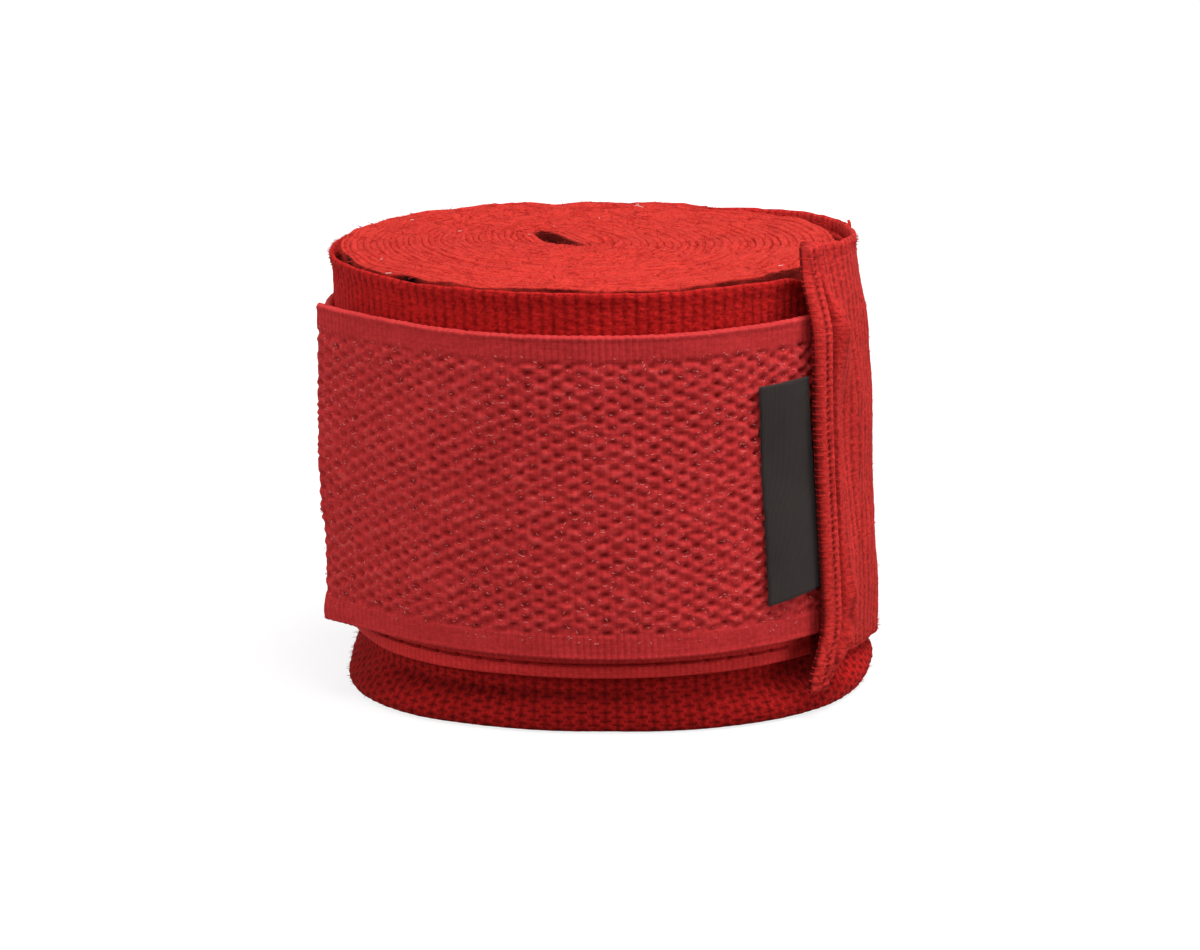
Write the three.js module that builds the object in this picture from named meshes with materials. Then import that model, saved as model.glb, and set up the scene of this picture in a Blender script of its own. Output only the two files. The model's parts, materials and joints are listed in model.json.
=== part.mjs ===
// Rolled elastic hand wrap: a 3.5 m band wound into a roll and held shut by a hook-and-loop closure.
// Millimetres, +Z up, the closure faces -Y. Angles run from -Y towards +X, seen from above
// anticlockwise, and the band winds inwards from its outer end the same way.
import * as THREE from 'three';

// Driving dimensions of the band and its roll.
const BAND_LENGTH = 3500;
const BAND_WIDTH = 50;
const BAND_THICKNESS = 0.5;
const TURN_GAP = 0.3;
const CORE_HALF_LENGTH = 6.2;
const CORE_HALF_WIDTH = 2.4;
const CORE_ANGLE = 18;
const OUTER_END_ANGLE = 46;

// Driving dimensions of the closure. A shift is how far a piece's middle lies above the band's.
const HOOK_TAPE_LENGTH = 68;
const HOOK_TAPE_WIDTH = 36.5;
const HOOK_TAPE_THICKNESS = 1.1;
const HOOK_TAPE_SHIFT = 2.35;
const FREE_END_LIFT = 0.9;
const FREE_END_SPAN = 14;
const LOOP_TAPE_LENGTH = 98;
const LOOP_TAPE_WIDTH = 36.5;
const LOOP_TAPE_THICKNESS = 0.9;
const LOOP_TAPE_SHIFT = 0.15;
const LOOP_TAPE_SETBACK = 3;

// Driving dimensions of the band's free tail, its folded hem and what is sewn to it.
const TAIL_LENGTH = 24;
const TAIL_RISE = 1.2;
const HEM_WIDTH = 2.7;
const HEM_THICKNESS = 1.7;
const HEM_RAMP = 5;
const TAG_LENGTH = 7;
const TAG_WIDTH = 24.3;
const TAG_THICKNESS = 0.35;
const TAG_SHIFT = 1.75;

// Driving dimensions of the thumb loop, which is wound up inside the core.
const THUMB_LOOP_LENGTH = 34;
const THUMB_LOOP_WIDTH = 12;
const THUMB_LOOP_THICKNESS = 0.4;

// Threads, and the clearance that pieces resting on each other keep.
const THREAD = 0.35;
const SEAM_INSET = 1.5;
const CLEARANCE = 0.3;

// The roll's size follows from the length of the band: each turn is one pitch outside the last,
// and the oblong turns at the core grow evenly into a round one at the outside.
const SEGMENTS_PER_TURN = 24;
const PITCH = BAND_THICKNESS + TURN_GAP;
const CORE_MEAN = (CORE_HALF_LENGTH + CORE_HALF_WIDTH) / 2;
const ROLL_RADIUS = Math.sqrt(BAND_LENGTH * PITCH / Math.PI + CORE_MEAN ** 2);
const TURNS = (ROLL_RADIUS - CORE_MEAN) / PITCH;
const CORE_MEAN_TURN = Math.PI * 2 * CORE_MEAN;

// Distances outwards from the middle of the band that lies under the closure.
const BAND_FACE = BAND_THICKNESS / 2;
const LOOP_TAPE_INNER = BAND_FACE + CLEARANCE;
const LOOP_TAPE_OUTER = LOOP_TAPE_INNER + LOOP_TAPE_THICKNESS;
const STITCH_INNER = LOOP_TAPE_OUTER + CLEARANCE;
const STITCH_OUTER = STITCH_INNER + THREAD;
const HOOK_TAPE_INNER = STITCH_OUTER + CLEARANCE;
const HOOK_TAPE_OUTER = HOOK_TAPE_INNER + HOOK_TAPE_THICKNESS;
const HEM_LIFT = HOOK_TAPE_OUTER + CLEARANCE + BAND_FACE - PITCH;
const HEM_OUTER = HEM_LIFT - BAND_FACE + HEM_THICKNESS;

// Heights of the lower edges of what lies along the outer turn.
const HOOK_TAPE_BASE = (BAND_WIDTH - HOOK_TAPE_WIDTH) / 2 + HOOK_TAPE_SHIFT;
const LOOP_TAPE_BASE = (BAND_WIDTH - LOOP_TAPE_WIDTH) / 2 + LOOP_TAPE_SHIFT;
const TAG_BASE = (BAND_WIDTH - TAG_WIDTH) / 2 + TAG_SHIFT;

// Lengths along the outer turn, counted inwards from the band's outer end.
const FULL_TURN = 2 * Math.PI * ROLL_RADIUS;
const HEM_OVERLAP = HEM_WIDTH - CLEARANCE;
const TAG_ROOT = FULL_TURN - THREAD - 2 * CLEARANCE;
const HOOK_TAPE_REACH = alongBand(HOOK_TAPE_LENGTH, (HOOK_TAPE_INNER + HOOK_TAPE_OUTER) / 2);
const LOOP_TAPE_REACH = alongBand(LOOP_TAPE_LENGTH, (LOOP_TAPE_INNER + LOOP_TAPE_OUTER) / 2);
const TAG_REACH = alongBand(TAG_LENGTH, HOOK_TAPE_OUTER + CLEARANCE);

const RED_BAND = '#a3211f';
const RED_TAPE = '#a33033';
const RED_LOOP = '#8f1c1e';
const RED_THREAD = '#8c1518';
const BLACK_TAG = '#2b2726';

function fabric(color) {
  return new THREE.MeshStandardMaterial({ color, roughness: 0.95, metalness: 0 });
}

// How far along the band a piece of some length reaches when it is wrapped outside it.
function alongBand(length, lift) {
  return length * ROLL_RADIUS / (ROLL_RADIUS + lift);
}

// A point of the winding's plan: turns counted from the band's inner end, and the lift
// outwards from the middle of the band.
function onWinding(turns, lift) {
  const share = turns / TURNS;
  const halfLength = THREE.MathUtils.lerp(CORE_HALF_LENGTH, ROLL_RADIUS, share);
  const halfWidth = THREE.MathUtils.lerp(CORE_HALF_WIDTH, ROLL_RADIUS, share);
  const outerEnd = THREE.MathUtils.degToRad(OUTER_END_ANGLE - CORE_ANGLE);
  const turn = outerEnd + 2 * Math.PI * (TURNS - turns);
  const point = new THREE.Vector2(halfLength * Math.cos(turn), halfWidth * Math.sin(turn));
  const outwards = new THREE.Vector2(halfWidth * Math.cos(turn), halfLength * Math.sin(turn));
  point.addScaledVector(outwards.normalize(), lift);
  return point.rotateAround(new THREE.Vector2(), THREE.MathUtils.degToRad(CORE_ANGLE - 90));
}

// The same, by the length along the outer turn, counted inwards from the band's outer end.
function onOuterTurn(length, lift) {
  return onWinding(TURNS - length / FULL_TURN, lift);
}

// A closed plan outline between two faces, each given by its lift at every station.
function stripShape(stations, place, innerLift, outerLift) {
  const inner = stations.map((station) => place(station, innerLift(station)));
  const outer = stations.map((station) => place(station, outerLift(station)));
  return new THREE.Shape(outer.concat(inner.reverse()));
}

function upright(name, shape, base, height, color) {
  const geometry = new THREE.ExtrudeGeometry(shape, { depth: height, bevelEnabled: false });
  geometry.translate(0, 0, base);
  const mesh = new THREE.Mesh(geometry, fabric(color));
  mesh.name = name;
  return mesh;
}

function evenly(from, to, step) {
  const count = Math.max(1, Math.ceil(Math.abs(to - from) / step));
  return Array.from({ length: count + 1 }, (_, i) => THREE.MathUtils.lerp(from, to, i / count));
}

// An upright strip along the outer turn with two faces of constant lift.
function outerStrip(name, from, to, innerLift, outerLift, base, height, color) {
  const stations = evenly(from, to, 2);
  const shape = stripShape(stations, onOuterTurn, () => innerLift, () => outerLift);
  return upright(name, shape, base, height, color);
}

// A short upright strip at the core, by turns from the band's inner end.
function coreStrip(name, from, to, thickness, height, color) {
  const stations = evenly(from, to, 0.5 / SEGMENTS_PER_TURN);
  const half = thickness / 2;
  const shape = stripShape(stations, onWinding, () => -half, () => half);
  return upright(name, shape, (BAND_WIDTH - height) / 2, height, color);
}

// The band from its inner end to where the free tail begins.
function wrapBand() {
  const last = TURNS - (TAIL_LENGTH + CLEARANCE) / FULL_TURN;
  const whole = Math.floor(last * SEGMENTS_PER_TURN);
  const stations = Array.from({ length: whole + 1 }, (_, i) => i / SEGMENTS_PER_TURN);
  stations.push(last);
  const shape = stripShape(stations, onWinding, () => -BAND_FACE, () => BAND_FACE);
  return upright('wrap_band', shape, 0, BAND_WIDTH, RED_BAND);
}

// Thread over the band's inner end, then the bar tack and the thumb loop that it holds, whose
// two leaves lie flat together.
function innerEnd() {
  const gap = 2 * CLEARANCE / CORE_MEAN_TURN;
  const thread = THREAD / CORE_MEAN_TURN;
  const overlock = -gap;
  const tack = overlock - thread - gap;
  const loop = tack - thread * 2 - gap;
  const loopEnd = loop - THUMB_LOOP_LENGTH / CORE_MEAN_TURN;
  return [
    coreStrip('inner_end_overlock', overlock, overlock - thread, BAND_THICKNESS, BAND_WIDTH, RED_THREAD),
    coreStrip('thumb_loop_bartack', tack, tack - thread * 2, BAND_THICKNESS, THUMB_LOOP_WIDTH, RED_THREAD),
    coreStrip('thumb_loop', loop, loopEnd, THUMB_LOOP_THICKNESS, THUMB_LOOP_WIDTH, RED_BAND),
  ];
}

// The loop tape is sewn to the outer face of the band, one turn in from its outer end.
function loopTape() {
  const start = FULL_TURN - LOOP_TAPE_SETBACK;
  const end = start - LOOP_TAPE_REACH;
  const upperRow = LOOP_TAPE_BASE + LOOP_TAPE_WIDTH - SEAM_INSET - THREAD;
  const lowerRow = LOOP_TAPE_BASE + SEAM_INSET;
  const row = (name, base) => outerStrip(
    name, start - SEAM_INSET, end + SEAM_INSET, STITCH_INNER, STITCH_OUTER, base, THREAD, RED_THREAD);
  return [
    outerStrip('loop_tape', start, end, LOOP_TAPE_INNER, LOOP_TAPE_OUTER,
      LOOP_TAPE_BASE, LOOP_TAPE_WIDTH, RED_LOOP),
    row('loop_tape_upper_stitching', upperRow),
    row('loop_tape_lower_stitching', lowerRow),
  ];
}

// The hook tape lies over the loop tape, runs under the hem, and its free end stands off a little.
function hookTape() {
  const root = FULL_TURN + HEM_OVERLAP;
  const free = root - HOOK_TAPE_REACH;
  const standOff = (length) => {
    const nearEnd = Math.max(0, 1 - (length - free) / FREE_END_SPAN);
    return FREE_END_LIFT * nearEnd ** 2;
  };
  const shape = stripShape(evenly(root, free, 2), onOuterTurn,
    (length) => HOOK_TAPE_INNER + standOff(length), (length) => HOOK_TAPE_OUTER + standOff(length));
  return upright('hook_tape', shape, HOOK_TAPE_BASE, HOOK_TAPE_WIDTH, RED_TAPE);
}

// The band's last stretch: it climbs over the root of the hook tape and ends in a folded hem.
function bandTail() {
  const rampEnd = HEM_WIDTH + CLEARANCE;
  const climb = (length) => {
    const along = THREE.MathUtils.smoothstep(length, rampEnd, rampEnd + HEM_RAMP);
    return HEM_LIFT * (1 - along);
  };
  const stations = [0, HEM_WIDTH].concat(evenly(rampEnd, rampEnd + HEM_RAMP, 1));
  stations.push(...evenly(rampEnd + HEM_RAMP, TAIL_LENGTH, 2).slice(1));
  const shape = stripShape(stations, onOuterTurn, (length) => climb(length) - BAND_FACE,
    (length) => (length <= HEM_WIDTH ? HEM_OUTER : climb(length) + BAND_FACE));
  return upright('band_tail', shape, TAIL_RISE, BAND_WIDTH, RED_BAND);
}

// Overlock thread round the hem's edge, an angle in plan, and the seam that holds tape and tag.
function hemThreads() {
  const hemInner = HEM_LIFT - BAND_FACE;
  const over = HEM_OUTER + CLEARANCE;
  const corners = [
    [-CLEARANCE, hemInner], [-CLEARANCE, over], [SEAM_INSET - 2 * CLEARANCE, over],
    [SEAM_INSET - 2 * CLEARANCE, over + THREAD], [-CLEARANCE - THREAD, over + THREAD],
    [-CLEARANCE - THREAD, hemInner],
  ];
  const edge = new THREE.Shape(corners.map(([length, lift]) => onOuterTurn(length, lift)));
  return [
    upright('hem_overlock', edge, TAIL_RISE, BAND_WIDTH, RED_THREAD),
    outerStrip('hem_seam_thread', SEAM_INSET, SEAM_INSET + THREAD, over, over + THREAD,
      TAIL_RISE + SEAM_INSET, BAND_WIDTH - 2 * SEAM_INSET, RED_THREAD),
  ];
}

// The tag lies on the hook tape and turns about its root beside the hem.
function sizeTag() {
  const inner = HOOK_TAPE_OUTER + CLEARANCE;
  return outerStrip('size_tag', TAG_ROOT, TAG_ROOT - TAG_REACH, inner, inner + TAG_THICKNESS,
    TAG_BASE, TAG_WIDTH, BLACK_TAG);
}

const wrap = new THREE.Group();
wrap.add(wrapBand(), ...innerEnd(), ...loopTape());
wrap.add(bandTail(), ...hemThreads(), hookTape(), sizeTag());

// The origin is at the middle of the bounding box's base.
const box = new THREE.Box3().setFromObject(wrap);
const middle = box.getCenter(new THREE.Vector3());
wrap.position.set(-middle.x, -middle.y, -box.min.z);

const model = new THREE.Group();
model.add(wrap);

export default model;
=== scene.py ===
import json
import math

import bpy
import numpy as np
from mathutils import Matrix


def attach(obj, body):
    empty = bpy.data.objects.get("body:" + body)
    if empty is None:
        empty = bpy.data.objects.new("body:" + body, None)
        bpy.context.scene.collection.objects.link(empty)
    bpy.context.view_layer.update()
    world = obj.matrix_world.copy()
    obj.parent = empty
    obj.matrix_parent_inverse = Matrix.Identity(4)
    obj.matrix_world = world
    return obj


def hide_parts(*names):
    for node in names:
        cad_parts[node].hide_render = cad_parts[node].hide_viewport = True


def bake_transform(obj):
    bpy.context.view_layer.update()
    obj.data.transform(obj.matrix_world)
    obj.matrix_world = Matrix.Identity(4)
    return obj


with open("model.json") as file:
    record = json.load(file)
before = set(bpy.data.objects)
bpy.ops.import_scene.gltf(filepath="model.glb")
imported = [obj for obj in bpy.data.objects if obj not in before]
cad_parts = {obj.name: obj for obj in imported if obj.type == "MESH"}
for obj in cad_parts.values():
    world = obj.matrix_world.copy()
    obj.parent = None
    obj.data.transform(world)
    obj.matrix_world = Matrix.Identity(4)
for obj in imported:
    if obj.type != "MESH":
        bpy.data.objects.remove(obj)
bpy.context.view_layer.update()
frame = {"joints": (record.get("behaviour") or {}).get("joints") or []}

# A rolled elastic hand wrap: the wound band, its outer turn, the gathered tail and its hem, the
# two halves of the closure and the tag. Shapes are worked out in millimetres, about the roll's
# own axis, and are moved into the frame and to metres when a mesh is made.
MM = 0.001

# The roll, as it was made. Angles run from the front (-Y) towards +X.
BAND_LENGTH = 3500
BAND_WIDTH = 50
PITCH = 0.8
BAND_FACE = 0.25
OUTER_END_ANGLE = 46
CORE_MEAN = 4.3
ROLL_RADIUS = math.sqrt(BAND_LENGTH * PITCH / math.pi + CORE_MEAN ** 2)
TURNS = (ROLL_RADIUS - CORE_MEAN) / PITCH
FULL_TURN = 2 * math.pi * ROLL_RADIUS
TAIL_LENGTH = 24

# The core is pressed flat into a slit and sits a little to the back left.
CORE_ANGLE = 26
SLIT_HALF_LENGTH = 5.1
SLIT_HALF_WIDTH = 1.45
SLIT_ROUNDING = 0.35
CORE_OFFSET = (-3.6, 5.0)
SECOND_HOLE = (1.8, 4.7)
LEAN = 2.0

# The knit of the band: ribs across it, courses along it; the outer turn's two faces, by their lift
# from the band's middle; and the heights of the turns' upper edges.
RIB_PITCH = 1.3
COURSE_PITCH = 0.96
RIB_HEIGHT = 0.10
TURN_FACE = 0.30
TURN_BACK = -0.38
WOUND_TOP = 50.05
TURN_TOP = 49.72

# The closure's tapes: distances outwards from the middle of the band, and heights.
HOOK_INNER = 2.4
HOOK_OUTER = 3.5
HOOK_LENGTH = 68
HOOK_LOW = 9.1
HOOK_HIGH = 45.6
HEM_OVERLAP = 2.4
FREE_END_LIFTS = (2.6, 2.6, 1.85, 1.6, 1.6, 2.0, 1.8, 1.35, 0.85)
FREE_END_SPAN = 14
LOOP_INNER = 0.45
LOOP_OUTER = 1.45
LOOP_LENGTH = 98
LOOP_SETBACK = 3
LOOP_UNDER_HEM = 2.2
LOOP_LOW = 6.25
LOOP_HIGH = 43.4
COLUMN_PITCH = 1.38
ROW_PITCH = 1.50
SELVEDGE = 3.0
SEAM_INSET = 1.5
STITCH_PITCH = 2.8
EDGE_STITCH_PITCH = 0.78

# The tail and its hem, by length from the outer end; the tag beside it.
TAIL_JOIN = 28.5
HEM_MID = 3.85
HEM_HALF = 0.80
TAIL_HALF = 0.34
TAIL_MID = 3.25
TAG_LOW = 14.6
TAG_HIGH = 38.9
TAG_REACH = 6.2

hinge = next(j for j in frame["joints"] if j["name"] == "closure_peel")


def winding(turns, lift=0.0, spread=0.0):
    """Plan points of the wound band: turns from its inner end, lift outwards from its middle in
    millimetres, and spread outwards in shares of the distance between turns."""
    share = (turns + spread) / TURNS
    length = SLIT_HALF_LENGTH + (ROLL_RADIUS - SLIT_HALF_LENGTH) * share
    width = SLIT_HALF_WIDTH + (ROLL_RADIUS - SLIT_HALF_WIDTH) * share
    turn = math.radians(OUTER_END_ANGLE - CORE_ANGLE) + 2 * math.pi * (TURNS - turns)
    c, s = np.cos(turn), np.sin(turn)
    flat = (length - width) * c * math.sqrt(1 + SLIT_ROUNDING ** 2) / np.sqrt(c * c + SLIT_ROUNDING ** 2)
    return in_plan(flat + (width + lift) * c, (width + lift) * s, 1 - share)


def in_plan(along, across, inwards=1.0):
    """A plan point from its place along and across the core's slit."""
    a, b = math.sin(math.radians(CORE_ANGLE)), math.cos(math.radians(CORE_ANGLE))
    x = along * a + across * b + inwards * CORE_OFFSET[0]
    y = -along * b + across * a + inwards * CORE_OFFSET[1]
    return x, y


def outer(length, lift):
    """Plan points along the outer turn, by the length from the band's outer end inwards."""
    return winding(TURNS - np.asarray(length, float) / FULL_TURN, lift)


HINGE_PLAN = outer(TAIL_LENGTH, BAND_FACE)
AXIS = (hinge["pos_m"][0] / MM - float(HINGE_PLAN[0]), hinge["pos_m"][1] / MM - float(HINGE_PLAN[1]))


def along_band(length, lift):
    """How far along the band a piece reaches when it is wrapped outside it."""
    return length * ROLL_RADIUS / (ROLL_RADIUS + lift)


def points(x, y, z):
    """Points of the leaning roll, as an array whose last axis is x, y, z in millimetres. The roll is
    pressed in a little at the left, just above its foot."""
    x, y, z = np.broadcast_arrays(x, y, z)
    pressed = 1.0 * bump(z, 5.5, 5.5) * ease(-x, 24, 30)
    return np.stack([x + pressed + AXIS[0] + LEAN * (0.5 - z / BAND_WIDTH), y + AXIS[1], z], axis=-1)


def ease(value, low, high):
    """0 up to low and 1 from high on, with a smooth rise between them."""
    share = np.clip((np.asarray(value, float) - low) / (high - low), 0, 1)
    return share * share * (3 - 2 * share)


def bump(value, middle, half):
    """One rounded hump, 1 at the middle and 0 from half a width away."""
    share = np.clip(np.abs(np.asarray(value, float) - middle) / half, 0, 1)
    return (1 - share * share) ** 2


def line_through(value, places, sizes, blur=1.5):
    """A soft line through sizes given at some places."""
    taps = np.linspace(-blur, blur, 5)
    return sum(np.interp(np.asarray(value, float) + t, places, sizes) for t in taps) / len(taps)


def ruffle(u, v, seed):
    """Smooth seeded noise from -1 to 1, one feature to each unit of u and v."""
    table = np.random.default_rng(seed).uniform(-1, 1, (1024, 128))
    u, v = np.broadcast_arrays(np.asarray(u, float), np.asarray(v, float))
    i, j = np.floor(u).astype(int), np.floor(v).astype(int)
    f, g = u - i, v - j
    f, g = f * f * (3 - 2 * f), g * g * (3 - 2 * g)
    a, b = table[i % 1024, j % 128], table[(i + 1) % 1024, j % 128]
    c, d = table[i % 1024, (j + 1) % 128], table[(i + 1) % 1024, (j + 1) % 128]
    return (a * (1 - f) + b * f) * (1 - g) + (c * (1 - f) + d * f) * g


def rib_place(length):
    """Where a length falls among the ribs, which wander a little from an even spacing."""
    return length + 0.25 * ruffle(np.asarray(length) / 7.0, 0.0, 5)


def ribs(length):
    """The knit's ribs: rounded columns with narrow grooves between them."""
    return 1 - np.abs(np.cos(math.pi * rib_place(length) / RIB_PITCH)) ** 2.4


def beside(first, second):
    """Two arrays of values by station and corner, with their corners one after the other."""
    return np.concatenate([first, second], axis=1)


def new_mesh(name, verts, faces, uv):
    """A smooth piece at the origin from points in millimetres, with its cloth map in millimetres."""
    mesh = bpy.data.meshes.new(name)
    mesh.from_pydata((np.asarray(verts) * MM).tolist(), [], faces)
    mesh.polygons.foreach_set("use_smooth", np.ones(len(mesh.polygons), bool))
    layer = mesh.uv_layers.new(name="cloth")
    corner = np.zeros(len(mesh.loops), np.int32)
    mesh.loops.foreach_get("vertex_index", corner)
    layer.data.foreach_set("uv", np.asarray(uv, np.float32)[corner].ravel())
    piece = bpy.data.objects.new(name, mesh)
    bpy.context.scene.collection.objects.link(piece)
    return piece


def shaded(piece, shade):
    """Keeps a piece's painted light and shade: how dark (-1) or light (1) each point is painted."""
    layer = piece.data.attributes.new("shade", "FLOAT", "POINT")
    layer.data.foreach_set("value", np.asarray(shade, np.float32).ravel())
    return piece


def loft(name, rings, uv):
    """A closed solid through rings of points: rings[station, corner] with both ends capped."""
    count, corners = rings.shape[:2]
    index = np.arange(count * corners).reshape(count, corners)
    after = np.roll(index, -1, axis=1)
    quads = np.stack([index[:-1], index[1:], after[1:], after[:-1]], axis=-1).reshape(-1, 4)
    verts = rings.reshape(-1, 3)
    p = verts[quads]
    volume = np.einsum("ij,ij->i", p[:, 0], np.cross(p[:, 1] - p[:, 0], p[:, 2] - p[:, 0])
                       + np.cross(p[:, 2] - p[:, 0], p[:, 3] - p[:, 0])).sum()
    ends = [index[0].tolist(), index[-1][::-1].tolist()]
    if volume < 0:
        quads = quads[:, ::-1]
        ends = [end[::-1] for end in ends]
    return new_mesh(name, verts, quads.tolist() + ends, uv.reshape(-1, 2))


def strip(name, lengths, heights, face, back, back_heights):
    """A strip of cloth along the outer turn. face is the outer lift at [length, height], and back
    the inner one at [length, back height]; heights rise and back heights fall."""
    lengths = np.asarray(lengths, float)[:, None]
    z = beside(heights, back_heights)
    x, y = outer(lengths + 0 * z, beside(face, back))
    uv = np.stack([rib_place(lengths) + 0 * z, z], axis=-1)
    return loft(name, points(x, y, z), uv)


def edge_round(z, low, high, radius):
    """1 inside a strip, falling to 0 at its two edges as a rounded edge does."""
    near = np.clip(np.minimum(z - low, high - z) / radius, 0, 1)
    return np.sqrt(np.clip(1 - (1 - near) ** 2, 0, 1))


def tubes(name, paths, radii, sides):
    """Closed round threads along paths[thread, step, xyz] in millimetres, as one piece."""
    count, steps = paths.shape[:2]
    radii = np.broadcast_to(np.asarray(radii, float), (count, steps))
    along = np.gradient(paths, axis=1)
    along /= np.linalg.norm(along, axis=2, keepdims=True) + 1e-9
    across = np.eye(3)[np.abs(along.mean(axis=1)).argmin(axis=1)][:, None]
    side = np.cross(along, across)
    side /= np.linalg.norm(side, axis=2, keepdims=True) + 1e-9
    up = np.cross(along, side)
    turn = 2 * math.pi * np.arange(sides) / sides
    ring = side[:, :, None] * np.cos(turn)[:, None] + up[:, :, None] * np.sin(turn)[:, None]
    verts = paths[:, :, None] + ring * radii[:, :, None, None]
    index = np.arange(count * steps * sides).reshape(count, steps, sides)
    after = np.roll(index, -1, axis=2)
    quads = np.stack([index[:, :-1], after[:, :-1], after[:, 1:], index[:, 1:]], axis=-1).reshape(-1, 4)
    caps = np.concatenate([index[:, 0, ::-1], index[:, -1]])
    reach = np.linalg.norm(np.diff(paths, axis=1, prepend=paths[:, :1]), axis=2).cumsum(axis=1)
    uv = np.stack(np.broadcast_arrays(reach[:, :, None], turn), axis=-1)
    return new_mesh(name, verts.reshape(-1, 3), quads.tolist() + caps.tolist(), uv.reshape(-1, 2))


def fibres(name, roots, leads, lengths, thickness, curl, seed):
    """Short curling fibres, thick at the root and thin at the tip."""
    rng = np.random.default_rng(seed)
    share = np.array([0.0, 0.5, 1.0])
    swerve = rng.normal(0, 1, (len(roots), 3)) * curl * np.array([1, 1, 0.4])
    paths = roots[:, None] + (leads[:, None] * share[:, None]
                              + swerve[:, None] * (share * share)[:, None]) * lengths[:, None, None]
    radii = thickness * np.array([1.0, 0.8, 0.35]) * rng.uniform(0.7, 1.2, (len(roots), 1))
    return tubes(name, paths, radii, sides=3)


# ---- the wound band -------------------------------------------------------------------------

# The outer turn goes on beyond a full turn, under the tail, to where the wound band stops.
OUTER_TURNS = 1.29
OUTER_OVERRUN = 55
LAST_WOUND_TURN = TURNS - OUTER_TURNS
OUTER_REACH = FULL_TURN + OUTER_OVERRUN


def turns_at(reach):
    """The turn that a length of band from its inner end has come to."""
    return (-CORE_MEAN + np.sqrt(CORE_MEAN ** 2 + 2 * PITCH * reach / (2 * math.pi))) / PITCH


def reach_at(turns):
    """The length of band from its inner end up to a turn."""
    return 2 * math.pi * (CORE_MEAN * turns + PITCH * turns ** 2 / 2)


def top_of_roll(turns, reach, x, y):
    """Height of the top edge of each turn: uneven, with dips at the slit and the second hole."""
    uneven = 0.22 * ruffle(x / 4 + 40, y / 4 + 40, 11) + 0.09 * ruffle(reach / 2.2, turns * 0.8, 12)
    each_turn = 0.10 * ruffle(turns * 0.9, 0.3, 13)
    slit_x, slit_y = in_plan(0.0, 0.0)
    to_slit = np.hypot(x - slit_x, y - slit_y)
    hole = np.hypot((x - SECOND_HOLE[0]) / 1.6, y - SECOND_HOLE[1])
    front = ease(-y, -4, 16)
    outside = (0.20 - 0.40 * front) * ease(turns, TURNS - 6, TURNS - 1.5) + 0.5 * ease(x, 12, 27)
    top = WOUND_TOP + uneven + each_turn + outside
    return top - 0.55 * np.exp(-(to_slit / 5) ** 2) - 1.5 * np.exp(-(hole / 0.75) ** 2)


def wound_band():
    """The wound turns. Each ring has two corners at the foot, four up the outer face, six over the
    rounded top edge and two down the inner face. A corner's height is from the floor, or from the
    top edge where it is 0 or less, and its spread is in shares of the distance between turns."""
    total = reach_at(LAST_WOUND_TURN)
    core_reach = 160
    core_step, step = 0.35, 0.77
    reach = np.concatenate([np.arange(0, core_reach, core_step),
                            np.linspace(core_reach, total, int((total - core_reach) / step))])
    turns = turns_at(reach)[:, None]
    spread = np.array([-.40, .42, .48, .10, .40, .49, .50, .34, .11, -.11, -.34, -.50, -.49, -.48])
    height = np.array([0.12, 0.12, .9, 5.5, 11, 44, -.17, -.02, 0, 0, -.02, -.17, 44, .9])
    last = ease(turns, LAST_WOUND_TURN - 1.15, LAST_WOUND_TURN - 1.05)
    edge = -0.5 + (spread + 0.5) * (1 - 0.42 * last)
    spread = np.where(height <= 0, edge, spread + 0 * turns)
    x, y = winding(turns + 0 * spread, 0.0, spread)
    top = top_of_roll(turns, reach[:, None], *winding(turns))
    parted = 0.75 + 1.1 * np.clip(ruffle(reach[:, None] / 14, turns * 0.6, 16), -0.6, 1)
    grain = 0.10 * ruffle(reach[:, None] / 0.8, (turns + spread) * 4.7, 15)
    crest = top + height * parted + grain
    z = np.where(height <= 0, crest, height)
    z[:, :2] = 0.02 + 0.1 * (1 + ruffle(reach / 6, 0.0, 14)[:, None])
    at_edge = height < 0.65
    cloth_height = np.where(at_edge, 50.4 + spread, height)
    uv = np.stack(np.broadcast_arrays(reach[:, None], cloth_height), axis=-1)
    # Painted shade: the last wound turn's outer face is darkened along the crevice behind the outer
    # turn, and the first turns' inner faces are darkened down into the slit.
    deep = 0.8 + 0.5 * ruffle(reach[:, None] / 2.0, 0.4, 17)
    shade = -last * deep * np.array([0, 0, 0, 0, 0, 1, .95, .25, 0, 0, 0, 0, 0, 0])
    core = 1 - ease(turns, 1.0, 1.3)
    shade = shade - core * np.array([0, 0, 0, 0, 0, 0, 0, 0, 0, .1, .5, .9, 1, 1])
    return shaded(loft("wound_band", points(x, y, z), uv), shade)


# ---- the outer turn -------------------------------------------------------------------------

def right_bulge(length, z):
    """The outer turn stands off the roll beside the gathered tail."""
    stand = line_through(z, (1, 4, 9, 23, 34, 44, 50), (0.8, 1.3, 1.5, 1.4, 1.6, .9, .2))
    return stand * ease(length, 6, 20) * (1 - ease(length, 30, 48))


def under_tail(length, z):
    """Where the outer turn comes round again it is pushed out below the tail."""
    size = ease(length, 193, 206) * (1 - ease(length, 213, 226))
    return size * (0.5 * bump(z, 6, 6) + 0.9 * bump(z, 2.0, 2.6))


def foot_crease(length, z):
    """A crease along the top of the foot, left of the middle."""
    return bump(z, 4.1, 0.9) * ease(length, 132, 145) * (1 - ease(length, 158, 180))


def foot(length, z):
    """The lower edge of the outer turn swells outwards below the tapes."""
    amount = line_through(length, (80, 110, 119, 126, 134, 142, 150, 165, 181, 190, 197, 206),
                          (.7, .6, .2, 1.25, 2.7, 3.1, 2.0, .75, 2.3, 2.9, 2.1, 0.8), 2.0)
    return amount * bump(z, 1.1, 3.6) - 0.25 * bump(z, 5.8, 2.2) - 0.3 * foot_crease(length, z)


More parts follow.
